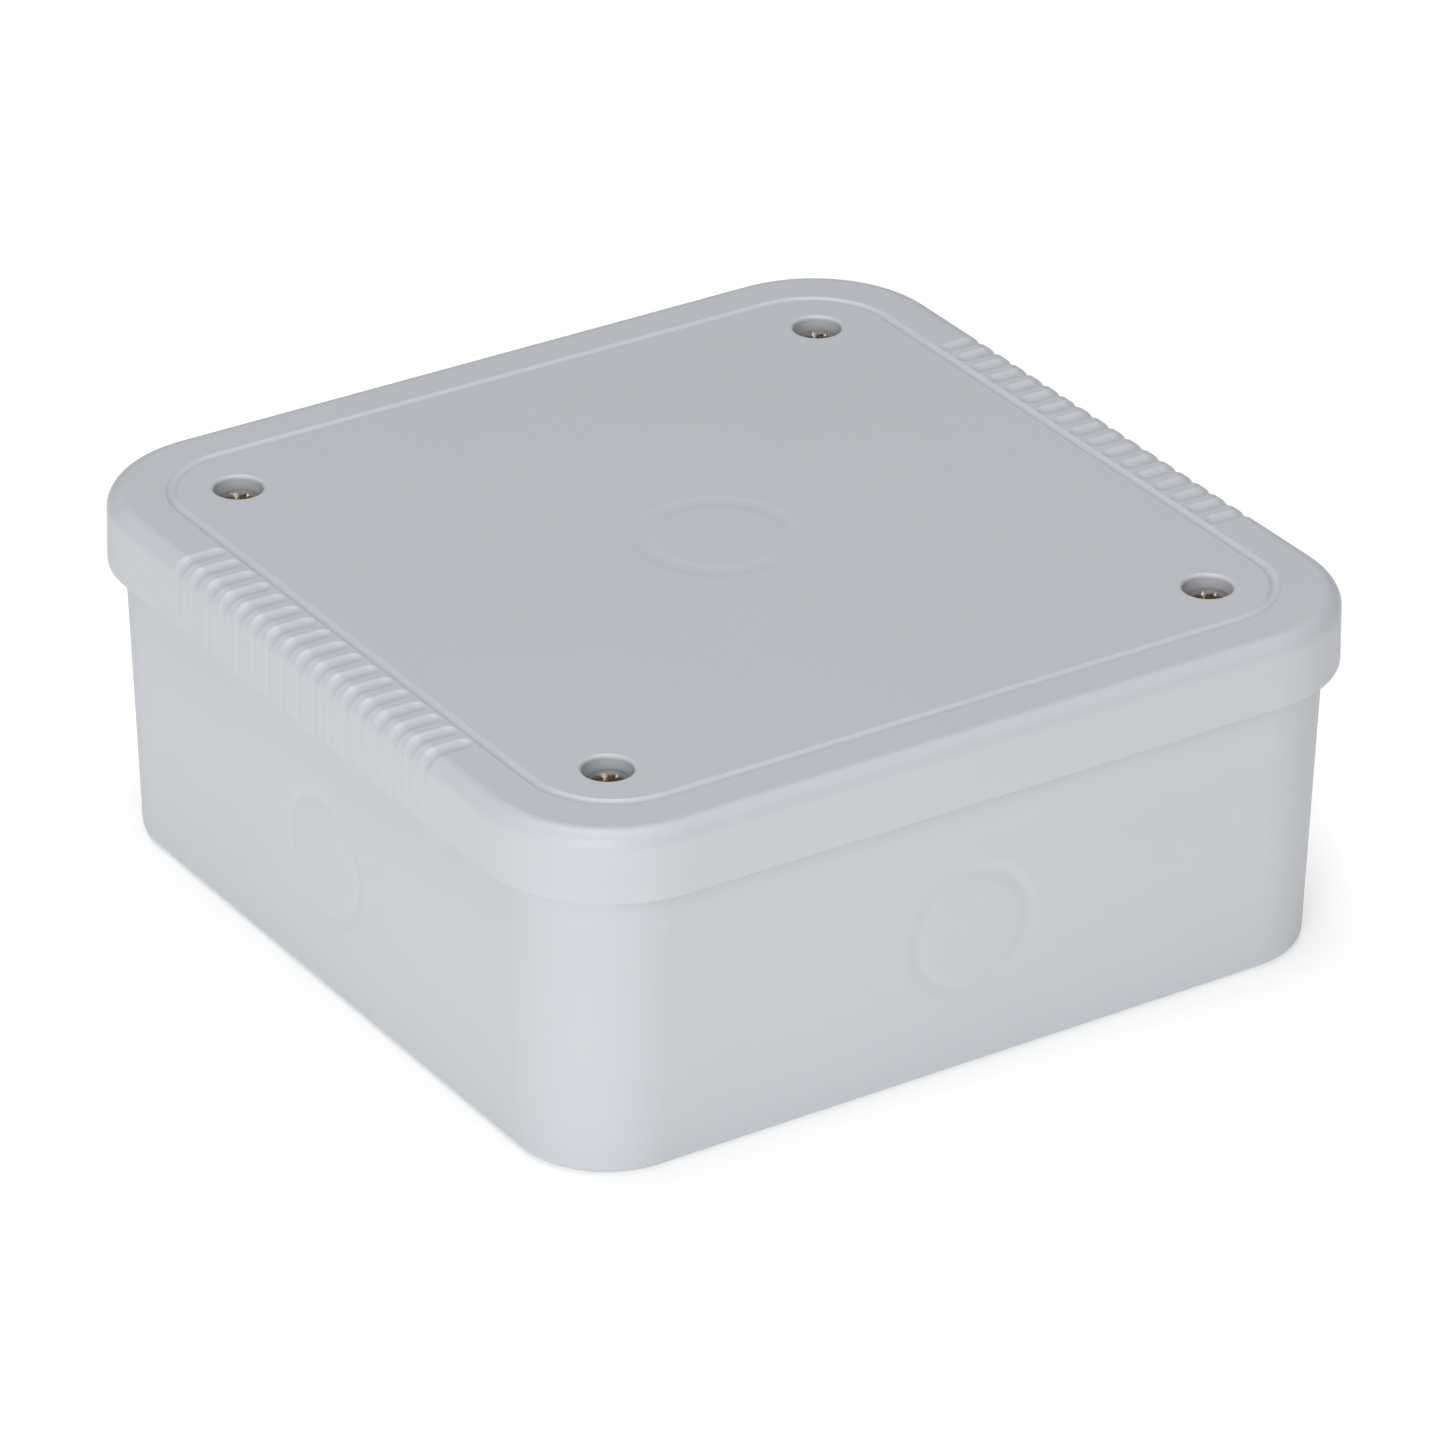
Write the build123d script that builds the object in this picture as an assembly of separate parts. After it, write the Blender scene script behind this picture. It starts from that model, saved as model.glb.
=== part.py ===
from build123d import *
import math
import os

# Square moulded junction box, 150 x 150 x 60 mm: a drafted base, a lid with a deep skirt held by
# four captive screws, and a five-pole clamp block on the floor of the base.
# +Z is up, the origin is the centre of the base's underside, and lengths are millimetres.

# Overall sizes.
lid_side = 150.0
box_height = 59.9
skirt_height = 11.3
skirt_lean = 1.0
base_foot_side = 140.3
base_draft = 1.8
screw_spacing = 108.0

# Moulded walls.
lid_plate = 2.6
lid_skirt_wall = 2.2
base_wall = 2.5
base_floor = 2.6
lid_corner = 21.8
foot_corner = 15.3
lid_edge_round = 2.8
foot_edge_round = 1.9
floor_edge_round = 1.5

# Lid trim: the framing groove, the centre ring and the grip flutes.
groove_side = 130.8
groove_corner = 14.0
groove_width = 1.8
groove_depth = 0.32
ring_radius = 11.8
ring_width = 4.0
ring_depth = 0.1
flute_count = 17
flute_pitch = 4.55
flute_width = 3.0
flute_depth = 0.33
flute_skirt_depth = 0.1
flute_inner_end = 66.45

# Sealing rim.
rim_top = 55.2
rim_step_at = 50.0
rim_step = 0.6
seal_width = 3.6
seal_gap = 0.1
seal_keeper = 1.5
seal_keeper_drop = 4.0

# Lid screws: M4, captive, each with a sealing washer.
screw_r = 2.0
screw_head_r = 3.5
screw_head_height = 2.4
screw_recess = (2.3, 1.1, 1.5)
screw_length = 12.0
screw_tip_chamfer = 0.5
screw_sunk = 1.8
well_r = 3.9
well_lip = 0.6
well_sleeve_r = 6.2
well_hole_r = 2.25
well_floor = 2.5
washer_r = 3.6
washer_thick = 1.0
thread_play = 0.05
post_gap = 0.3

# Driving recesses and domed heads.
recess_draft = 12.0
recess_cone = 0.6
head_round = 0.45

# Base columns and their brass inserts.
post_r = 5.2
post_web = 1.8
post_web_top = 45.0
insert_r = 3.0
insert_length = 8.0
insert_flange_r = 3.6
insert_flange = 0.8
post_bore_r = 2.4
post_bore_depth = 12.0

# Knock-outs for 20 mm cable entries, one in each wall.
knockout_r = 10.0
knockout_height = 24.3
knockout_line_width = 4.0
knockout_line_depth = 0.09
knockout_trench_width = 1.4
knockout_trench_depth = 1.3

# Holes that fix the box to a wall.
wall_hole_spacing = 90.0
wall_hole_r = 2.6
wall_collar_r = 5.6
wall_collar_height = 2.2

# Clamp block.
pole_count = 5
pole_pitch = 10.5
boss_r = 4.5
boss_height = 8.0
ear_screw_x = 31.5
ear_end_x = 36.0
ear_thick = 5.0
ear_depth = 12.0
block_depth = 17.0
block_plate = 2.0
block_height = 16.4
block_end_wall = 1.0
block_round = 0.8
pole_gap = (1.0, 1.5)
clamp_size = (7.6, 11.0, 12.0)
clamp_way = (4.8, 7.6)
clamp_foot = 1.4
clamp_play = 0.1
clamp_screw_r = 1.75
clamp_head_r = 2.8
clamp_head_height = 2.6
clamp_head_gap = 0.3
clamp_tip_chamfer = 0.4
clamp_slot = (0.8, 1.2)
clamp_plate_size = (4.4, 8.4, 1.0)
clamp_plate_round = 0.3
clamp_access_r = 3.1
wire_mouth = (5.2, 6.8)
wire_mouth_flare = 1.0
ear_hole_r = 1.6
ear_screw_r = 1.5
ear_screw_head_r = 3.0
ear_screw_head = 2.2
ear_screw_length = 12.6
ear_screw_recess = (1.9, 0.9, 1.3)
ear_round = 2.0

# Worked-out heights.
skirt_bottom = box_height - skirt_height
plate_under = box_height - lid_plate
well_bottom = box_height - screw_sunk - screw_head_height - washer_thick
sleeve_bottom = well_bottom - well_floor
post_top = sleeve_bottom - post_gap
head_under = well_bottom + washer_thick
block_seat = base_floor + boss_height
clamp_seat = block_seat + block_plate
block_top = clamp_seat + block_height
clamp_top = clamp_seat + clamp_size[2]
cut_past = 1.0


def lean_over(height, degrees):
    """How far a leaning wall moves sideways over a height."""
    return height * math.tan(math.radians(degrees))


def base_half(height):
    """Half the base's outer side at a height above its underside."""
    return base_foot_side / 2 + lean_over(height, base_draft)


def base_corner(height):
    """The base's outer corner radius at a height."""
    return foot_corner + lean_over(height, base_draft)


def square_block(half, corner, low, high, taper=0.0):
    """A rounded square block between two heights. A positive taper narrows it upwards."""
    face = Pos(0, 0, low) * RectangleRounded(2 * half, 2 * half, corner)
    return extrude(face, amount=high - low, taper=taper)


def square_ring(outer_half, outer_corner, wall, low, high):
    """A rounded square ring of even wall."""
    outer = square_block(outer_half, outer_corner, low, high)
    inner = square_block(outer_half - wall, outer_corner - wall, low - cut_past, high + cut_past)
    return outer - inner


def rod(radius, low, high, x=0.0, y=0.0):
    """An upright round bar between two heights."""
    return Pos(x, y, (low + high) / 2) * Cylinder(radius, high - low)


def slab(size_x, size_y, low, high, x=0.0, y=0.0):
    """An upright square-edged bar between two heights."""
    return Pos(x, y, (low + high) / 2) * Box(size_x, size_y, high - low)


def round_of(width, depth):
    """The radius of the arc that is this wide and this deep."""
    return ((width / 2) ** 2 + depth**2) / (2 * depth)


def corners(spacing):
    """The four corners of a square, counter-clockwise from front left."""
    half = spacing / 2
    return [(-half, -half), (half, -half), (half, half), (-half, half)]


# Lid.


def lid_outside():
    """The lid's outer shape, as a solid block with a rounded top edge."""
    block = square_block(lid_side / 2, lid_corner, skirt_bottom, box_height, skirt_lean)
    return fillet(block.edges().group_by(Axis.Z)[-1], lid_edge_round)


def lid_inside():
    """The hollow under the lid's plate and inside its skirt."""
    half = lid_side / 2 - lid_skirt_wall
    return square_block(half, lid_corner - lid_skirt_wall, skirt_bottom, plate_under, skirt_lean)


def lid_groove():
    """The shallow round-bottomed line that frames the lid's panel."""
    radius = round_of(groove_width, groove_depth)
    height = box_height + radius - groove_depth
    outline = RectangleRounded(groove_side, groove_side, groove_corner).wire()
    path = Pos(0, 0, height) * outline
    start = Plane(origin=path @ 0, z_dir=path % 0)
    return sweep(start * Circle(radius), path=path)


def shallow_ring(radius, width, depth):
    """A ring to cut from a face at z = 0. Its section is one flat arc, this wide and this deep."""
    inner = radius - width / 2
    outer = radius + width / 2
    with BuildPart() as ring:
        with BuildSketch(Plane.XZ):
            with BuildLine():
                ThreePointArc((inner, 0), (radius, -depth), (outer, 0))
                Polyline((outer, 0), (outer, cut_past), (inner, cut_past), (inner, 0))
            make_face()
        revolve(axis=Axis.Z)
    return ring.part


def lid_ring():
    """The faint sink ring at the lid's centre."""
    return Pos(0, 0, box_height) * shallow_ring(ring_radius, ring_width, ring_depth)


def grip_flute(y):
    """One shallow groove for the fingers on the right side, from its round inner end down the skirt."""
    radius = round_of(flute_width, flute_depth)
    level = box_height + radius - flute_depth
    low = skirt_bottom - cut_past
    foot_half = lid_side / 2 + radius - flute_skirt_depth + lean_over(cut_past, skirt_lean)
    start = (flute_inner_end + flute_width / 2, y, level)
    turn = (foot_half - lean_over(level - low, skirt_lean), y, level)
    path = FilletPolyline(start, turn, (foot_half, y, low), radius=lid_edge_round + radius)
    bar = sweep(Plane(origin=start, z_dir=(1, 0, 0)) * Circle(radius), path=path)
    return bar + Pos(*start) * Sphere(radius)


def screw_well(x, y):
    """The stepped hole of one lid screw, with a soft lip at its mouth."""
    mouth = box_height + cut_past
    mouth_r = well_r + well_lip
    with BuildPart() as well:
        with BuildSketch(Plane.XZ):
            with BuildLine():
                Polyline((0, well_bottom), (well_r, well_bottom), (well_r, box_height - well_lip))
                RadiusArc((well_r, box_height - well_lip), (mouth_r, box_height), well_lip)
                Polyline((mouth_r, box_height), (mouth_r, mouth), (0, mouth), (0, well_bottom))
            make_face()
        revolve(axis=Axis.Z)
    hole = rod(well_hole_r, sleeve_bottom - cut_past, well_bottom + cut_past)
    return Pos(x, y, 0) * (well.part + hole)


def lid_cover():
    """The lid: plate, skirt, grip flutes, seal keeper, screw sleeves, groove and centre ring."""
    lid = lid_outside() - lid_inside()
    for number in range(flute_count):
        right = grip_flute((number - (flute_count - 1) / 2) * flute_pitch)
        lid -= [right, mirror(right, about=Plane.YZ)]
    keeper_half = seal_inner_half()
    keeper_low = plate_under - seal_keeper_drop
    lid += square_ring(keeper_half, seal_inner_corner(), seal_keeper, keeper_low, plate_under)
    for x, y in corners(screw_spacing):
        lid += rod(well_sleeve_r, sleeve_bottom, plate_under + cut_past, x, y)
    lid -= lid_groove()
    lid -= lid_ring()
    for x, y in corners(screw_spacing):
        lid -= screw_well(x, y)
    return lid


# Lid seal.


def seal_outer_half():
    """Half the seal's outer side, just inside the lid's skirt."""
    lean = lean_over(plate_under - skirt_bottom, skirt_lean)
    return lid_side / 2 - lid_skirt_wall - lean - seal_gap


def seal_outer_corner():
    """The seal's outer corner radius."""
    lean = lean_over(plate_under - skirt_bottom, skirt_lean)
    return lid_corner - lid_skirt_wall - lean - seal_gap


def seal_inner_half():
    """Half the side of the keeper wall that holds the seal from inside."""
    return seal_outer_half() - seal_width - seal_gap


def seal_inner_corner():
    """The keeper wall's corner radius."""
    return seal_outer_corner() - seal_width - seal_gap


def lid_gasket():
    """The foam-rubber ring that the base's rim closes against."""
    return square_ring(seal_outer_half(), seal_outer_corner(), seal_width, rim_top, plate_under)


# Base.


def base_shell():
    """The drafted tray, with its stepped-in rim."""
    step_half = base_half(rim_step_at) - rim_step
    step_corner = base_corner(rim_step_at) - rim_step
    body = square_block(base_half(0), foot_corner, 0, rim_step_at, -base_draft)
    body = fillet(body.edges().group_by(Axis.Z)[0], foot_edge_round)
    body += square_block(step_half, step_corner, rim_step_at - cut_past, rim_top)
    hollow_half = base_half(base_floor) - base_wall
    hollow_corner = base_corner(base_floor) - base_wall
    hollow = square_block(hollow_half, hollow_corner, base_floor, rim_top + cut_past, -base_draft)
    hollow = fillet(hollow.edges().group_by(Axis.Z)[0], floor_edge_round)
    return body - hollow


def post_webs(x, y):
    """Two webs that tie one column to the walls beside it."""
    reach = base_half(0) - base_wall / 4 - abs(x)
    side_x = math.copysign(1, x)
    side_y = math.copysign(1, y)
    low = base_floor - base_wall / 2
    across = slab(reach, post_web, low, post_web_top, x + side_x * reach / 2, y)
    along = slab(post_web, reach, low, post_web_top, x, y + side_y * reach / 2)
    return across + along


def knockout(turn):
    """The trench inside that weakens one wall round a 20 mm entry, and its faint sink ring outside."""
    lean = math.radians(base_draft)
    wall = Plane(
        origin=(0, -base_half(knockout_height), knockout_height),
        x_dir=(1, 0, 0),
        z_dir=(0, -math.cos(lean), -math.sin(lean)),
    )
    line = shallow_ring(knockout_r, knockout_line_width, knockout_line_depth)
    inside = -base_wall - cut_past
    bottom = -base_wall + knockout_trench_depth
    trench = rod(knockout_r + knockout_trench_width / 2, inside, bottom)
    trench -= rod(knockout_r - knockout_trench_width / 2, inside - cut_past, bottom + cut_past)
    return Rot(0, 0, turn) * (wall * (line + trench))


def base_box():
    """The base: tray, screw columns, wall-fixing holes, clamp block bosses and knock-outs."""
    base = base_shell()
    for x, y in corners(screw_spacing):
        base += rod(post_r, base_floor - cut_past, post_top, x, y)
        base += post_webs(x, y)
    for x, y in corners(wall_hole_spacing):
        base += rod(wall_collar_r, base_floor - cut_past, base_floor + wall_collar_height, x, y)
    for x in (-ear_screw_x, ear_screw_x):
        base += rod(boss_r, base_floor - cut_past, block_seat, x)
    for x, y in corners(screw_spacing):
        base -= rod(insert_r, post_top - insert_length, post_top + cut_past, x, y)
        base -= rod(insert_flange_r, post_top - insert_flange, post_top + cut_past, x, y)
        base -= rod(post_bore_r, post_top - post_bore_depth, post_top, x, y)
    for x, y in corners(wall_hole_spacing):
        base -= rod(wall_hole_r, -cut_past, base_floor + wall_collar_height + cut_past, x, y)
    for x in (-ear_screw_x, ear_screw_x):
        base -= rod(ear_screw_r, ear_screw_tip(), block_seat + cut_past, x)
    for turn in (0, 90, 180, 270):
        base -= knockout(turn)
    return base


# Lid fasteners.


def brass_insert(x, y):
    """One flanged brass bush, pressed into the top of a column."""
    low = post_top - insert_length
    body = rod(insert_r, low, post_top, x, y)
    body += rod(insert_flange_r, post_top - insert_flange, post_top, x, y)
    return body - rod(screw_r + thread_play, low - cut_past, post_top + cut_past, x, y)


def cross_recess(size):
    """A cross driving recess below z = 0, whose arms narrow towards the bottom."""
    reach, width, depth = size
    foot = Rectangle(2 * reach - depth, width)
    arm = Pos(0, 0, -depth) * extrude(foot, amount=depth, taper=-recess_draft)
    cone = Pos(0, 0, -depth / 2) * Cone(width * recess_cone, width, depth)
    return arm + Rot(0, 0, 90) * arm + cone


def pan_head(radius, height):
    """A low domed screw head that stands on z = 0."""
    head = extrude(Circle(radius), amount=height)
    return fillet(head.edges().group_by(Axis.Z)[-1], height * head_round)


def lid_screw(x, y):
    """One M4 pan-head screw, its thread as a plain cylinder of the outer diameter."""
    head = pan_head(screw_head_r, screw_head_height)
    head -= Pos(0, 0, screw_head_height) * cross_recess(screw_recess)
    shank = rod(screw_r, -screw_length, cut_past / 2)
    shank = chamfer(shank.edges().group_by(Axis.Z)[0], screw_tip_chamfer)
    return Pos(x, y, head_under) * (head + shank)


def captive_washer(x, y):
    """One rubber washer under a screw head. It grips the shank and travels with the screw."""
    ring = rod(washer_r, well_bottom, head_under, x, y)
    return ring - rod(screw_r + thread_play, well_bottom - cut_past, head_under + cut_past, x, y)


# Clamp block.


def pole_places():
    """The x of each pole, left to right."""
    return [(number - (pole_count - 1) / 2) * pole_pitch for number in range(pole_count)]


def ear_screw_tip():
    """The height of the block screws' tips."""
    return clamp_seat + ear_thick - ear_screw_length


def terminal_plate():
    """The block's insulating bottom plate, which closes the pole pockets."""
    plate = slab(2 * ear_end_x, block_depth, block_seat, clamp_seat)
    plate = fillet(plate.edges().filter_by(Axis.Z), ear_round)
    for x in (-ear_screw_x, ear_screw_x):
        plate -= rod(ear_hole_r, block_seat - cut_past, clamp_seat + cut_past, x)
    return plate


def wire_funnel(x, side):
    """The flared mouth where wires enter one pole from one side."""
    width, height = wire_mouth
    centre_z = clamp_seat + clamp_foot + height / 2
    face = Plane(origin=(x, side * block_depth / 2, centre_z), x_dir=(1, 0, 0), z_dir=(0, side, 0))
    mouth = face * Pos(0, 0, -block_depth / 4) * Box(width, height, block_depth / 2 + cut_past)
    flare = Rectangle(width + 2 * wire_mouth_flare, height + 2 * wire_mouth_flare)
    flare = extrude(flare, amount=-wire_mouth_flare, taper=45)
    return mouth + face * flare


def terminal_housing():
    """The block's polyamide moulding: five pockets, wire mouths, screw holes and two fixing ears."""
    length = pole_count * pole_pitch + 2 * block_end_wall
    body = slab(length, block_depth, clamp_seat, block_top)
    body = fillet(body.edges().group_by(Axis.Z)[-1], block_round)
    ears = slab(2 * ear_end_x, ear_depth, clamp_seat, clamp_seat + ear_thick)
    ears = fillet(ears.edges().filter_by(Axis.Z), ear_round)
    body += ears
    pocket_x = clamp_size[0] + clamp_play
    pocket_y = clamp_size[1] + clamp_play
    for x in pole_places():
        body -= slab(pocket_x, pocket_y, clamp_seat - cut_past, clamp_top + clamp_play, x)
        body -= rod(clamp_access_r, clamp_top, block_top + cut_past, x)
        for side in (-1, 1):
            body -= wire_funnel(x, side)
    gap_width, gap_depth = pole_gap
    for gap in range(1, pole_count):
        x = (gap - pole_count / 2) * pole_pitch
        body -= slab(gap_width, block_depth + cut_past, block_top - gap_depth, block_top + cut_past, x)
    for x in (-ear_screw_x, ear_screw_x):
        body -= rod(ear_hole_r, clamp_seat - cut_past, clamp_seat + ear_thick + cut_past, x)
    return body


def clamp_frame(x):
    """One pole's brass frame: wires pass through it along Y and the screw is threaded into its top."""
    size_x, size_y, size_z = clamp_size
    way_x, way_z = clamp_way
    frame = slab(size_x, size_y, clamp_seat, clamp_seat + size_z, x)
    way_low = clamp_seat + clamp_foot
    frame -= slab(way_x, size_y + cut_past, way_low, way_low + way_z, x)
    return frame - rod(clamp_screw_r + thread_play, way_low, clamp_top + cut_past, x)


def clamp_plate_low():
    """The height of the closed pressure plate's underside."""
    return clamp_seat + clamp_foot + clamp_play


def clamp_plate(x):
    """One pole's steel pressure plate, which the screw pushes onto the wires."""
    size_x, size_y, thick = clamp_plate_size
    low = clamp_plate_low()
    plate = slab(size_x, size_y, low, low + thick, x)
    return fillet(plate.edges().filter_by(Axis.X), clamp_plate_round)


def clamp_screw(x):
    """One pole's slotted clamp screw, closed down onto its plate."""
    tip = clamp_plate_low() + clamp_plate_size[2] + thread_play
    head_low = clamp_top + clamp_head_gap
    head = Pos(0, 0, head_low) * pan_head(clamp_head_r, clamp_head_height)
    head_top = head_low + clamp_head_height
    slot_width, slot_depth = clamp_slot
    head -= slab(slot_width, 3 * clamp_head_r, head_top - slot_depth, head_top + cut_past)
    shank = rod(clamp_screw_r, tip, head_low + cut_past)
    shank = chamfer(shank.edges().group_by(Axis.Z)[0], clamp_tip_chamfer)
    return Pos(x, 0, 0) * (head + shank)


def block_screw(x):
    """One self-tapping screw that holds the block on its boss."""
    seat = clamp_seat + ear_thick
    head = Pos(0, 0, seat) * pan_head(ear_screw_head_r, ear_screw_head)
    head -= Pos(0, 0, seat + ear_screw_head) * cross_recess(ear_screw_recess)
    shank = rod(ear_screw_r, seat - ear_screw_length, seat + cut_past / 2)
    return Pos(x, 0, 0) * (head + shank)


parts = {
    "base_box": base_box(),
    "lid_cover": lid_cover(),
    "lid_gasket": lid_gasket(),
    "terminal_plate": terminal_plate(),
    "terminal_housing": terminal_housing(),
}
for number, (x, y) in enumerate(corners(screw_spacing), start=1):
    parts[f"lid_screw_{number}"] = lid_screw(x, y)
    parts[f"captive_washer_{number}"] = captive_washer(x, y)
    parts[f"brass_insert_{number}"] = brass_insert(x, y)
for number, x in enumerate(pole_places(), start=1):
    parts[f"clamp_frame_{number}"] = clamp_frame(x)
    parts[f"clamp_plate_{number}"] = clamp_plate(x)
    parts[f"clamp_screw_{number}"] = clamp_screw(x)
for number, x in enumerate((-ear_screw_x, ear_screw_x), start=1):
    parts[f"block_screw_{number}"] = block_screw(x)

os.makedirs("parts", exist_ok=True)
for name, shape in parts.items():
    export_step(shape, f"parts/{name}.step")
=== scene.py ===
import math

import bmesh
import bpy
from mathutils import Matrix, Vector


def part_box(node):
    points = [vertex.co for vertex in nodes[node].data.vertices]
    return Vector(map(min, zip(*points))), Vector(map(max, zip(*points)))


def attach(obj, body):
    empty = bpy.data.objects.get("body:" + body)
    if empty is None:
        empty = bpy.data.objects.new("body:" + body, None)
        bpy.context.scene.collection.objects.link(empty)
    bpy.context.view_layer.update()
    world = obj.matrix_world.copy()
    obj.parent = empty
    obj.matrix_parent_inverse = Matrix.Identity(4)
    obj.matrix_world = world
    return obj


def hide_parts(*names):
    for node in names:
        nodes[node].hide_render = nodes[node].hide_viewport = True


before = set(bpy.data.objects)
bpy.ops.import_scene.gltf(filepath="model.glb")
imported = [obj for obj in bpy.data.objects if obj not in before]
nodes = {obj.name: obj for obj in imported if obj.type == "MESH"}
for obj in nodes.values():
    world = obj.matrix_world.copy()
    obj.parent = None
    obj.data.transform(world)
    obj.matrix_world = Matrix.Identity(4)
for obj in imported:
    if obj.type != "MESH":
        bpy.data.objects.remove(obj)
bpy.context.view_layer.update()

# ---------------------------------------------------------------------------------------------
# Base and lid.
# Two injection mouldings in light-grey ABS from finely spark-eroded tools: satin all over, with
# the faint waviness of a thin wall. The base is sunk a little along the ring of each knock-out.
# ---------------------------------------------------------------------------------------------

knockout_height = 0.0243
knockout_r = 0.010
sink_half_width = 0.0016
sink_depth = 0.00009


def srgb(hex_text):
    """A hex colour as linear red, green, blue and alpha."""
    channels = [int(hex_text[i : i + 2], 16) / 255 for i in (0, 2, 4)]
    return [c / 12.92 if c <= 0.04045 else ((c + 0.055) / 1.055) ** 2.4 for c in channels] + [1.0]


def add_node(tree, kind, inputs=None, **settings):
    """Adds a shader node. Each input is a value to set, or another node's output to link."""
    node = tree.nodes.new(kind)
    for name, value in settings.items():
        setattr(node, name, value)
    for name, value in (inputs or {}).items():
        if isinstance(value, bpy.types.NodeSocket):
            tree.links.new(value, node.inputs[name])
        else:
            node.inputs[name].default_value = value
    return node


def new_material(name):
    """An empty node material and its tree."""
    material = bpy.data.materials.new(name)
    material.use_nodes = True
    material.node_tree.nodes.clear()
    return material, material.node_tree


def sink_height(tree, place):
    """How high the wall stands near a knock-out: 1 all over, and 0 along its sink mark."""
    axes = add_node(tree, "ShaderNodeSeparateXYZ", {"Vector": place}).outputs
    up = add_node(tree, "ShaderNodeMath", {0: axes["Z"], 1: knockout_height}, operation="SUBTRACT")
    rings = []
    for across in (axes["X"], axes["Y"]):
        flat = add_node(tree, "ShaderNodeCombineXYZ", {"X": across, "Y": up.outputs[0]})
        reach = add_node(tree, "ShaderNodeVectorMath", {0: flat.outputs[0]}, operation="LENGTH")
        rings.append(reach.outputs["Value"])
    near = add_node(tree, "ShaderNodeMath", {0: rings[0], 1: rings[1]}, operation="MINIMUM")
    beside = add_node(tree, "ShaderNodeMath", {0: near.outputs[0], 1: knockout_r}, operation="SUBTRACT")
    apart = add_node(tree, "ShaderNodeMath", {0: beside.outputs[0]}, operation="ABSOLUTE")
    rise = add_node(
        tree,
        "ShaderNodeMapRange",
        {"Value": apart.outputs[0], "From Max": sink_half_width},
        interpolation_type="SMOOTHSTEP",
    )
    return rise.outputs[0]


def light_grey_abs(name, sunk=False):
    """Satin moulding: grey pigment with a trace of drift, a slightly wavy wall and eroded grain."""
    material, tree = new_material(name)
    place = add_node(tree, "ShaderNodeTexCoord").outputs["Object"]
    # pigment drifts over 40 mm and the wall waves over 30 mm; the grain is 0.5 mm, a little
    # coarser than the real 0.1 mm so that it shows
    drift = add_node(tree, "ShaderNodeTexNoise", {"Vector": place, "Scale": 1 / 0.040, "Detail": 2.0})
    wave = add_node(tree, "ShaderNodeTexNoise", {"Vector": place, "Scale": 1 / 0.030, "Detail": 0.0})
    grain = add_node(tree, "ShaderNodeTexNoise", {"Vector": place, "Scale": 1 / 0.0005, "Detail": 2.0})
    tint = add_node(
        tree,
        "ShaderNodeMix",
        {"Factor": drift.outputs[0], 6: srgb("C3C6CC"), 7: srgb("C0C3C9")},
        data_type="RGBA",
    )
    gloss = add_node(
        tree,
        "ShaderNodeMapRange",
        {"Value": grain.outputs[0], "To Min": 0.40, "To Max": 0.48},
    )
    waved = add_node(
        tree,
        "ShaderNodeBump",
        {"Height": wave.outputs[0], "Strength": 0.05, "Distance": 0.0004},
    )
    grained = add_node(
        tree,
        "ShaderNodeBump",
        {"Height": grain.outputs[0], "Strength": 0.12, "Distance": 0.00003, "Normal": waved.outputs[0]},
    )
    if sunk:
        rise = sink_height(tree, place)
        grained = add_node(
            tree,
            "ShaderNodeBump",
            {"Height": rise, "Strength": 1.0, "Distance": sink_depth, "Normal": grained.outputs[0]},
        )
    surface = add_node(
        tree,
        "ShaderNodeBsdfPrincipled",
        {
            "Base Color": tint.outputs[2],
            "Roughness": gloss.outputs[0],
            "IOR": 1.53,
            "Normal": grained.outputs[0],
        },
    )
    add_node(tree, "ShaderNodeOutputMaterial", {"Surface": surface.outputs[0]})
    return material


def finish_nodes(material, *names):
    """Gives CAD nodes a material."""
    for name in names:
        mesh = nodes[name].data
        mesh.materials.clear()
        mesh.materials.append(material)


finish_nodes(light_grey_abs("light_grey_abs_lid"), "lid_cover")
finish_nodes(light_grey_abs("light_grey_abs_base", sunk=True), "base_box")

# ---------------------------------------------------------------------------------------------
# Lid seal.
# A square ring of black closed-cell EPDM foam in the lid's channel, with rounded edges and a
# skin of fine open pits where the cells were cut. The base's rim presses up into it.
# ---------------------------------------------------------------------------------------------

seal_width = 0.0036
seal_edge_round = 0.0005
seal_shrink = 0.00002
seal_corner = 0.0193
seal_rim_angle = math.radians(60)


def black_epdm_foam():
    """Dull black foam with cell pits: each pit is painted darker in its floor and lighter on its rim, a
    painted shade and highlight over the pits' own bump.
    """
    material, tree = new_material("black_epdm_foam")
    place = add_node(tree, "ShaderNodeTexCoord").outputs["Object"]
    # cells are 0.35 mm across and the cut skin rolls over 6 mm
    cell_pits_and_painted_shade = add_node(tree, "ShaderNodeTexVoronoi", {"Vector": place, "Scale": 1 / 0.00035})
    roll = add_node(tree, "ShaderNodeTexNoise", {"Vector": place, "Scale": 1 / 0.006, "Detail": 3.0})
    # painted shade and highlight: the colour runs from dark in each cell pit's floor to lighter on its rim
    tint = add_node(
        tree,
        "ShaderNodeMix",
        {"Factor": cell_pits_and_painted_shade.outputs["Distance"], 6: srgb("1B1B1D"), 7: srgb("2A2A2C")},
        data_type="RGBA",
    )
    rough = add_node(tree, "ShaderNodeMapRange", {"Value": roll.outputs[0], "To Min": 0.78, "To Max": 0.92})
    rolled = add_node(
        tree,
        "ShaderNodeBump",
        {"Height": roll.outputs[0], "Strength": 0.2, "Distance": 0.0004},
    )
    pitted = add_node(
        tree,
        "ShaderNodeBump",
        {
            "Height": cell_pits_and_painted_shade.outputs["Distance"],
            "Strength": 0.5,
            "Distance": 0.0001,
            "Normal": rolled.outputs[0],
        },
    )
    surface = add_node(
        tree,
        "ShaderNodeBsdfPrincipled",
        {
            "Base Color": tint.outputs[2],
            "Roughness": rough.outputs[0],
            "IOR": 1.5,
            "Normal": pitted.outputs[0],
        },
    )
    add_node(tree, "ShaderNodeOutputMaterial", {"Surface": surface.outputs[0]})
    return material


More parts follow.
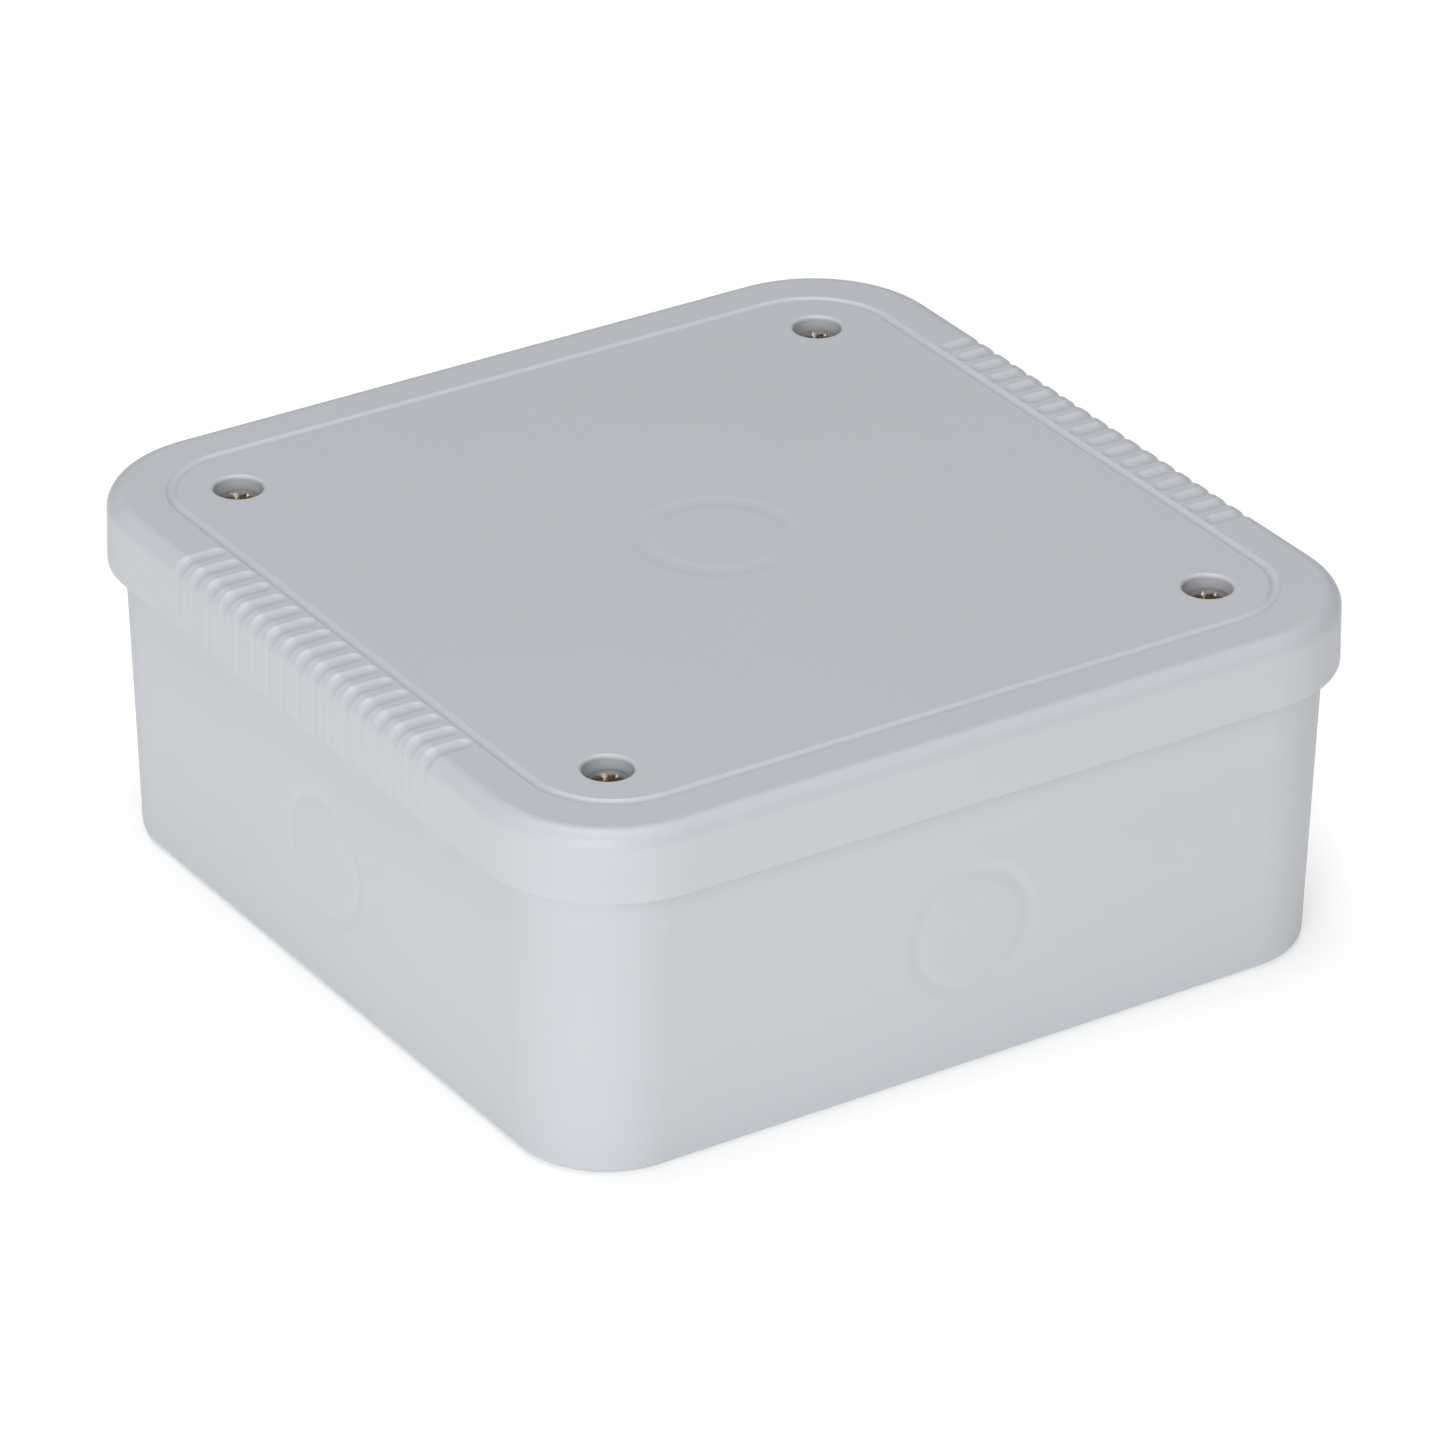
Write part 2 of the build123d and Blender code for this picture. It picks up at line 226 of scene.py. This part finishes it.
def make_piece(name, bm, material, body, slot, *replaced, sharp=35.0):
    """Turns a finished bmesh into a smooth-shaded piece that rides on a body."""
    bmesh.ops.recalc_face_normals(bm, faces=bm.faces)
    for face in bm.faces:
        face.smooth = True
    mesh = bpy.data.meshes.new(name)
    bm.to_mesh(mesh)
    bm.free()
    mesh.set_sharp_from_angle(angle=math.radians(sharp))
    mesh.materials.append(material)
    piece = bpy.data.objects.new(name, mesh)
    bpy.context.scene.collection.objects.link(piece)
    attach(piece, body)
    if replaced:
        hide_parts(*replaced)
    return piece


seal_low, seal_high = (Vector(c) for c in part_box("lid_gasket"))
bm = bmesh.new()
bmesh.ops.create_grid(bm, x_segments=1, y_segments=1, size=seal_high.x - seal_shrink)
bmesh.ops.bevel(
    bm,
    geom=bm.verts[:],
    offset=seal_corner,
    offset_type="OFFSET",
    affect="VERTICES",
    segments=16,
    profile=0.5,
    material=-1,
)
inside = bm.faces[:]
bmesh.ops.inset_region(
    bm,
    faces=inside,
    thickness=seal_width - 2 * seal_shrink,
    use_even_offset=True,
    use_boundary=True,
)
bmesh.ops.delete(bm, geom=inside, context="FACES")
bmesh.ops.translate(bm, verts=bm.verts, vec=(0, 0, seal_low.z + seal_shrink))
band = bm.faces[:]
walls = bmesh.ops.extrude_face_region(bm, geom=band)["geom"]
raised = [v for v in walls if isinstance(v, bmesh.types.BMVert)]
bmesh.ops.translate(bm, verts=raised, vec=(0, 0, seal_high.z - seal_low.z - 2 * seal_shrink))
bmesh.ops.recalc_face_normals(bm, faces=bm.faces)
rims = [e for e in bm.edges if e.is_manifold and e.calc_face_angle() > seal_rim_angle]
bmesh.ops.bevel(
    bm,
    geom=rims,
    offset=seal_edge_round,
    offset_type="OFFSET",
    affect="EDGES",
    segments=3,
    profile=0.5,
    material=-1,
)
make_piece("gasket_foam", bm, black_epdm_foam(), "lid", "seal_rubber", "lid_gasket")

# ---------------------------------------------------------------------------------------------
# Lid screws and their washers.
# Four M4 pan-head machine screws in zinc-plated steel, cold-headed with a cross recess
# and rolled threads. Each is held in the lid by a moulded nitrile washer that grips its shank.
# ---------------------------------------------------------------------------------------------

lathe_steps = 48
screw_r = 0.002
screw_root_r = 0.00169
screw_pitch = 0.0007
screw_head_r = 0.0035
screw_head_height = 0.0024
screw_plain = 0.0014
screw_tip_chamfer = 0.0005
recess_reach = 0.0019
recess_half = 0.00045
recess_depth = 0.0014
recess_floor = 0.5
recess_land = 0.0024
head_dome = 0.45
head_round_steps = 6
thread_steps = 24
thread_overlap = 0.00002


def warm_zinc_steel():
    """Zinc plate with a thin passivation: bright, faintly warm metal, mottled, with fine rub marks."""
    material, tree = new_material("warm_zinc_steel")
    place = add_node(tree, "ShaderNodeTexCoord").outputs["Object"]
    # the passivation mottles over 1.5 mm and rub marks are 0.08 mm apart
    mottle = add_node(tree, "ShaderNodeTexNoise", {"Vector": place, "Scale": 1 / 0.0015, "Detail": 4.0})
    rubs = add_node(tree, "ShaderNodeTexNoise", {"Vector": place, "Scale": 1 / 0.00008, "Detail": 1.0})
    tint = add_node(
        tree,
        "ShaderNodeMix",
        {"Factor": mottle.outputs[0], 6: srgb("D3CBC1"), 7: srgb("B5ABA0")},
        data_type="RGBA",
    )
    rough = add_node(
        tree,
        "ShaderNodeMapRange",
        {"Value": mottle.outputs[0], "To Min": 0.16, "To Max": 0.30},
    )
    rubbed = add_node(
        tree,
        "ShaderNodeBump",
        {"Height": rubs.outputs[0], "Strength": 0.1, "Distance": 0.00001},
    )
    surface = add_node(
        tree,
        "ShaderNodeBsdfPrincipled",
        {
            "Base Color": tint.outputs[2],
            "Metallic": 1.0,
            "Roughness": rough.outputs[0],
            "Normal": rubbed.outputs[0],
        },
    )
    add_node(tree, "ShaderNodeOutputMaterial", {"Surface": surface.outputs[0]})
    return material


def nitrile_rubber():
    """Moulded black nitrile: smooth, with a grey bloom."""
    material, tree = new_material("nitrile_rubber")
    place = add_node(tree, "ShaderNodeTexCoord").outputs["Object"]
    # bloom clouds are 2 mm across and the moulded grain 0.1 mm
    bloom = add_node(tree, "ShaderNodeTexNoise", {"Vector": place, "Scale": 1 / 0.002, "Detail": 3.0})
    grain = add_node(tree, "ShaderNodeTexNoise", {"Vector": place, "Scale": 1 / 0.0001})
    tint = add_node(
        tree,
        "ShaderNodeMix",
        {"Factor": bloom.outputs[0], 6: srgb("1E1E20"), 7: srgb("303033")},
        data_type="RGBA",
    )
    rough = add_node(tree, "ShaderNodeMapRange", {"Value": bloom.outputs[0], "To Min": 0.5, "To Max": 0.65})
    grained = add_node(
        tree,
        "ShaderNodeBump",
        {"Height": grain.outputs[0], "Strength": 0.2, "Distance": 0.00001},
    )
    surface = add_node(
        tree,
        "ShaderNodeBsdfPrincipled",
        {
            "Base Color": tint.outputs[2],
            "Roughness": rough.outputs[0],
            "IOR": 1.52,
            "Normal": grained.outputs[0],
        },
    )
    add_node(tree, "ShaderNodeOutputMaterial", {"Surface": surface.outputs[0]})
    return material


def lathe(bm, outline):
    """Spins an outline of (radius, height) points round the Z axis. Ends on the axis are closed."""
    points = [bm.verts.new((radius, 0, height)) for radius, height in outline]
    lines = [bm.edges.new(pair) for pair in zip(points, points[1:])]
    bmesh.ops.spin(
        bm,
        geom=points + lines,
        cent=(0, 0, 0),
        axis=(0, 0, 1),
        angle=2 * math.pi,
        steps=lathe_steps,
        use_merge=True,
    )
    bmesh.ops.remove_doubles(bm, verts=bm.verts, dist=1e-7)


def wind_thread(bm, root, crest, pitch, low, turns):
    """Winds a closed V ridge round the Z axis, from radius root to crest, upwards from a height."""
    corners = [(root, low), (crest, low + pitch / 2), (root, low + pitch)]
    points = [bm.verts.new((radius, 0, height)) for radius, height in corners]
    start = bm.faces.new(points)
    bmesh.ops.spin(
        bm,
        geom=[start],
        cent=(0, 0, 0),
        axis=(0, 0, 1),
        dvec=(0, 0, pitch / thread_steps),
        angle=2 * math.pi * turns,
        steps=thread_steps * turns,
        use_duplicate=False,
    )


def cut_cross(bm, height):
    """Closes the open top of a head at a height with a land and a tapered cross recess."""
    rim = [e for e in bm.edges if e.is_boundary]
    hub = bmesh.ops.create_grid(bm, x_segments=1, y_segments=1, size=recess_half)["verts"]
    bmesh.ops.translate(bm, verts=hub, vec=(0, 0, height))
    sides = list({e for v in hub for e in v.link_edges})
    cross = list({f for v in hub for f in v.link_faces})
    for side in sides:
        middle = (side.verts[0].co + side.verts[1].co) / 2
        outward = Vector((middle.x, middle.y, 0)).normalized()
        grown = bmesh.ops.extrude_edge_only(bm, edges=[side])["geom"]
        tips = [g for g in grown if isinstance(g, bmesh.types.BMVert)]
        cross += [g for g in grown if isinstance(g, bmesh.types.BMFace)]
        bmesh.ops.translate(bm, verts=tips, vec=outward * (recess_reach - recess_half))
    edge_of_cross = [e for e in {e for f in cross for e in f.edges} if e.is_boundary]
    bmesh.ops.bridge_loops(bm, edges=rim + edge_of_cross)
    sunk = bmesh.ops.extrude_face_region(bm, geom=cross)["geom"]
    floor_points = [g for g in sunk if isinstance(g, bmesh.types.BMVert)]
    bmesh.ops.delete(bm, geom=[f for f in cross if f.is_valid], context="FACES")
    shrink = Matrix.Diagonal((recess_floor, recess_floor, 1, 1))
    bmesh.ops.transform(bm, matrix=shrink, verts=floor_points)
    bmesh.ops.translate(bm, verts=floor_points, vec=(0, 0, -recess_depth))


def head_outline(radius, height, seat):
    """The dome of a pan head, from its flat land down to its seat."""
    bend = head_dome * height
    outline = [(recess_land, seat + height)]
    for step in range(head_round_steps + 1):
        turn = math.pi / 2 * step / head_round_steps
        outline.append((radius - bend * (1 - math.sin(turn)), seat + height - bend * (1 - math.cos(turn))))
    return outline + [(radius, seat)]


screw_steel = warm_zinc_steel()
for number in range(1, 5):
    low, high = (Vector(c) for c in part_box(f"lid_screw_{number}"))
    seat = high.z - screw_head_height
    bm = bmesh.new()
    outline = head_outline(screw_head_r, screw_head_height, seat)
    outline += [(screw_r, seat), (screw_r, seat - screw_plain), (screw_root_r, seat - screw_plain)]
    outline += [(screw_root_r, low.z + screw_tip_chamfer), (screw_root_r - screw_tip_chamfer, low.z)]
    outline.append((0, low.z))
    lathe(bm, outline)
    cut_cross(bm, high.z)
    turns = int((seat - screw_plain - low.z - screw_tip_chamfer) / screw_pitch)
    wind_thread(bm, screw_root_r - thread_overlap, screw_r, screw_pitch, low.z + screw_tip_chamfer, turns)
    middle = (low + high) / 2
    bmesh.ops.translate(bm, verts=bm.verts, vec=(middle.x, middle.y, 0))
    name = f"lid_screw_{number}"
    make_piece(f"threaded_{name}", bm, screw_steel, name, "screw_steel", name)
finish_nodes(nitrile_rubber(), *[f"captive_washer_{number}" for number in range(1, 5)])

# ---------------------------------------------------------------------------------------------
# Brass inserts.
# Four flanged bushes turned from free-cutting brass and pressed into the tops of the base's
# columns, with a chamfered mouth and a cut M4 thread.
# ---------------------------------------------------------------------------------------------

insert_bore_r = 0.00235
insert_mouth_chamfer = 0.0004
insert_overlap = 0.00002
insert_play = 0.00005
insert_flange = 0.0008
insert_r = 0.003
feed_mark = 0.00012
wave_bands = 20


def turned_brass():
    """Freshly turned brass: bright yellow metal with a fine feed mark and slight tarnish."""
    material, tree = new_material("turned_brass")
    place = add_node(tree, "ShaderNodeTexCoord").outputs["Object"]
    # tarnish clouds are 1.2 mm across; a wave texture draws 20 bands in each unit of scale
    cloud = add_node(tree, "ShaderNodeTexNoise", {"Vector": place, "Scale": 1 / 0.0012, "Detail": 3.0})
    feed = add_node(
        tree,
        "ShaderNodeTexWave",
        {"Vector": place, "Scale": 1 / feed_mark / wave_bands, "Distortion": 0.5},
        bands_direction="Z",
    )
    tint = add_node(
        tree,
        "ShaderNodeMix",
        {"Factor": cloud.outputs[0], 6: srgb("DDBB6E"), 7: srgb("C29A4E")},
        data_type="RGBA",
    )
    rough = add_node(
        tree,
        "ShaderNodeMapRange",
        {"Value": cloud.outputs[0], "To Min": 0.20, "To Max": 0.34},
    )
    fed = add_node(
        tree,
        "ShaderNodeBump",
        {"Height": feed.outputs["Fac"], "Strength": 0.15, "Distance": 0.00001},
    )
    surface = add_node(
        tree,
        "ShaderNodeBsdfPrincipled",
        {
            "Base Color": tint.outputs[2],
            "Metallic": 1.0,
            "Roughness": rough.outputs[0],
            "Normal": fed.outputs[0],
        },
    )
    add_node(tree, "ShaderNodeOutputMaterial", {"Surface": surface.outputs[0]})
    return material


insert_brass = turned_brass()
for number in range(1, 5):
    low, high = (Vector(c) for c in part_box(f"brass_insert_{number}"))
    rim_r = (high.x - low.x) / 2
    bm = bmesh.new()
    outline = [(insert_bore_r, low.z), (insert_bore_r, high.z - insert_mouth_chamfer)]
    outline += [(insert_bore_r + insert_mouth_chamfer, high.z), (rim_r, high.z)]
    outline += [(rim_r, high.z - insert_flange), (insert_r, high.z - insert_flange), (insert_r, low.z)]
    outline.append(outline[0])
    lathe(bm, outline)
    turns = int((high.z - insert_mouth_chamfer - low.z) / screw_pitch)
    crest = screw_r + insert_play + insert_overlap
    wind_thread(bm, insert_bore_r + insert_overlap, crest, screw_pitch, low.z, turns)
    middle = (low + high) / 2
    bmesh.ops.translate(bm, verts=bm.verts, vec=(middle.x, middle.y, 0))
    name = f"brass_insert_{number}"
    make_piece(f"threaded_{name}", bm, insert_brass, "base", "insert_brass", name)

# ---------------------------------------------------------------------------------------------
# Clamp block.
# A five-pole block in natural polyamide, held to the base by two self-tapping screws. In each
# pole a nickel-plated brass frame holds a slotted steel screw that bears on a steel plate.
# ---------------------------------------------------------------------------------------------


def natural_polyamide():
    """Unpigmented nylon: milky off-white, slightly translucent, with soft flow clouds."""
    material, tree = new_material("natural_polyamide")
    place = add_node(tree, "ShaderNodeTexCoord").outputs["Object"]
    # flow clouds are 12 mm across and the moulded grain 0.3 mm
    flow = add_node(tree, "ShaderNodeTexNoise", {"Vector": place, "Scale": 1 / 0.012, "Detail": 3.0})
    grain = add_node(tree, "ShaderNodeTexNoise", {"Vector": place, "Scale": 1 / 0.0003, "Detail": 2.0})
    tint = add_node(
        tree,
        "ShaderNodeMix",
        {"Factor": flow.outputs[0], 6: srgb("ECE9DE"), 7: srgb("E2DED0")},
        data_type="RGBA",
    )
    rough = add_node(
        tree,
        "ShaderNodeMapRange",
        {"Value": grain.outputs[0], "To Min": 0.42, "To Max": 0.55},
    )
    grained = add_node(
        tree,
        "ShaderNodeBump",
        {"Height": grain.outputs[0], "Strength": 0.15, "Distance": 0.00003},
    )
    surface = add_node(
        tree,
        "ShaderNodeBsdfPrincipled",
        {
            "Base Color": tint.outputs[2],
            "Roughness": rough.outputs[0],
            "IOR": 1.53,
            "Subsurface Weight": 0.25,
            "Subsurface Scale": 0.002,
            "Normal": grained.outputs[0],
        },
    )
    add_node(tree, "ShaderNodeOutputMaterial", {"Surface": surface.outputs[0]})
    return material


def nickel_plated_brass():
    """Barrel-plated nickel: cool bright metal with a warm cast and small tumbling dents."""
    material, tree = new_material("nickel_plated_brass")
    place = add_node(tree, "ShaderNodeTexCoord").outputs["Object"]
    # tumbling dents are 0.6 mm across and the cast drifts over 5 mm
    dents = add_node(tree, "ShaderNodeTexNoise", {"Vector": place, "Scale": 1 / 0.0006, "Detail": 2.0})
    cast = add_node(tree, "ShaderNodeTexNoise", {"Vector": place, "Scale": 1 / 0.005, "Detail": 1.0})
    tint = add_node(
        tree,
        "ShaderNodeMix",
        {"Factor": cast.outputs[0], 6: srgb("CFC7B4"), 7: srgb("C2B591")},
        data_type="RGBA",
    )
    rough = add_node(
        tree,
        "ShaderNodeMapRange",
        {"Value": dents.outputs[0], "To Min": 0.22, "To Max": 0.36},
    )
    dented = add_node(
        tree,
        "ShaderNodeBump",
        {"Height": dents.outputs[0], "Strength": 0.15, "Distance": 0.00004},
    )
    surface = add_node(
        tree,
        "ShaderNodeBsdfPrincipled",
        {
            "Base Color": tint.outputs[2],
            "Metallic": 1.0,
            "Roughness": rough.outputs[0],
            "Normal": dented.outputs[0],
        },
    )
    add_node(tree, "ShaderNodeOutputMaterial", {"Surface": surface.outputs[0]})
    return material


def bright_zinc_steel():
    """Clear-passivated zinc on steel: cool grey bright metal, finely spangled."""
    material, tree = new_material("bright_zinc_steel")
    place = add_node(tree, "ShaderNodeTexCoord").outputs["Object"]
    # plating spangle is 0.4 mm across
    spangle = add_node(tree, "ShaderNodeTexVoronoi", {"Vector": place, "Scale": 1 / 0.0004})
    tint = add_node(
        tree,
        "ShaderNodeMix",
        {"Factor": spangle.outputs["Distance"], 6: srgb("C4C6CA"), 7: srgb("A9ABB0")},
        data_type="RGBA",
    )
    rough = add_node(
        tree,
        "ShaderNodeMapRange",
        {"Value": spangle.outputs["Distance"], "To Min": 0.24, "To Max": 0.4},
    )
    surface = add_node(
        tree,
        "ShaderNodeBsdfPrincipled",
        {"Base Color": tint.outputs[2], "Metallic": 1.0, "Roughness": rough.outputs[0]},
    )
    add_node(tree, "ShaderNodeOutputMaterial", {"Surface": surface.outputs[0]})
    return material


poles = range(1, 6)
finish_nodes(natural_polyamide(), "terminal_housing", "terminal_plate")
finish_nodes(nickel_plated_brass(), *[f"clamp_frame_{pole}" for pole in poles])
zinc_steel = bright_zinc_steel()
finish_nodes(zinc_steel, "block_screw_1", "block_screw_2")
finish_nodes(zinc_steel, *[f"clamp_plate_{pole}" for pole in poles])
finish_nodes(zinc_steel, *[f"clamp_screw_{pole}" for pole in poles])

# ---------------------------------------------------------------------------------------------
# Camera.
# A long lens, a little over a metre off, looking down on the near left corner.
# ---------------------------------------------------------------------------------------------

camera_data = bpy.data.cameras.new("camera")
camera_data.sensor_width = 36.0
camera_data.lens = 209.3
camera_data.clip_start = 0.05
camera_data.clip_end = 50.0
camera = bpy.data.objects.new("camera", camera_data)
bpy.context.scene.collection.objects.link(camera)
bpy.context.scene.camera = camera
turn = math.radians(-33.0)
dip = math.radians(28.29)
roll = math.radians(0.32)
ahead = Vector((-math.sin(turn) * math.cos(dip), math.cos(turn) * math.cos(dip), -math.sin(dip)))
camera.location = (-0.6247, -0.9626, 0.6455)
camera.rotation_mode = "QUATERNION"
camera.rotation_quaternion = ahead.to_track_quat("-Z", "Y") @ Matrix.Rotation(roll, 3, "Z").to_quaternion()

# ---------------------------------------------------------------------------------------------
# Studio.
# A white light table that glows a little, a pale room and large softboxes.
# ---------------------------------------------------------------------------------------------

table_half = 4.0
table_glow = 0.30
room_glow = 0.0
aim = (0.0, 0.0, 0.03)
softboxes = [
    ("left_box", (-1.9, -0.5, 0.45), 1.0, 3.45),
    ("front_box", (0.5, -1.5, 1.5), 1.2, 3.85),
    ("camera_box", (-1.0, -1.4, 1.6), 1.0, 10.45),
    ("corner_box", (-1.35, -1.35, 0.5), 1.0, 14.6),
    ("top_box", (0.0, 0.2, 2.0), 1.6, 30.9),
]

floor_mesh = bpy.data.meshes.new("light_table")
bm = bmesh.new()
bmesh.ops.create_grid(bm, x_segments=1, y_segments=1, size=table_half)
bm.to_mesh(floor_mesh)
bm.free()
floor = bpy.data.objects.new("light_table", floor_mesh)
bpy.context.scene.collection.objects.link(floor)
table_paint, tree = new_material("white_light_table")
table_surface = add_node(
    tree,
    "ShaderNodeBsdfPrincipled",
    {
        "Base Color": srgb("F4F4F2"),
        "Roughness": 0.9,
        "Specular IOR Level": 0.0,
        "Emission Color": srgb("FFFFFF"),
        "Emission Strength": table_glow,
    },
)
add_node(tree, "ShaderNodeOutputMaterial", {"Surface": table_surface.outputs[0]})
floor_mesh.materials.append(table_paint)

world = bpy.data.worlds.new("pale_room")
bpy.context.scene.world = world
world.use_nodes = True
world.node_tree.nodes["Background"].inputs["Color"].default_value = srgb("FFFFFF")
world.node_tree.nodes["Background"].inputs["Strength"].default_value = room_glow

for name, place, size, power in softboxes:
    data = bpy.data.lights.new(name, "AREA")
    data.shape = "SQUARE"
    data.size = size
    data.energy = power
    light = bpy.data.objects.new(name, data)
    light.location = place
    light.rotation_mode = "QUATERNION"
    light.rotation_quaternion = (Vector(aim) - Vector(place)).to_track_quat("-Z", "Y")
    bpy.context.scene.collection.objects.link(light)

bpy.context.scene.view_settings.view_transform = "Standard"
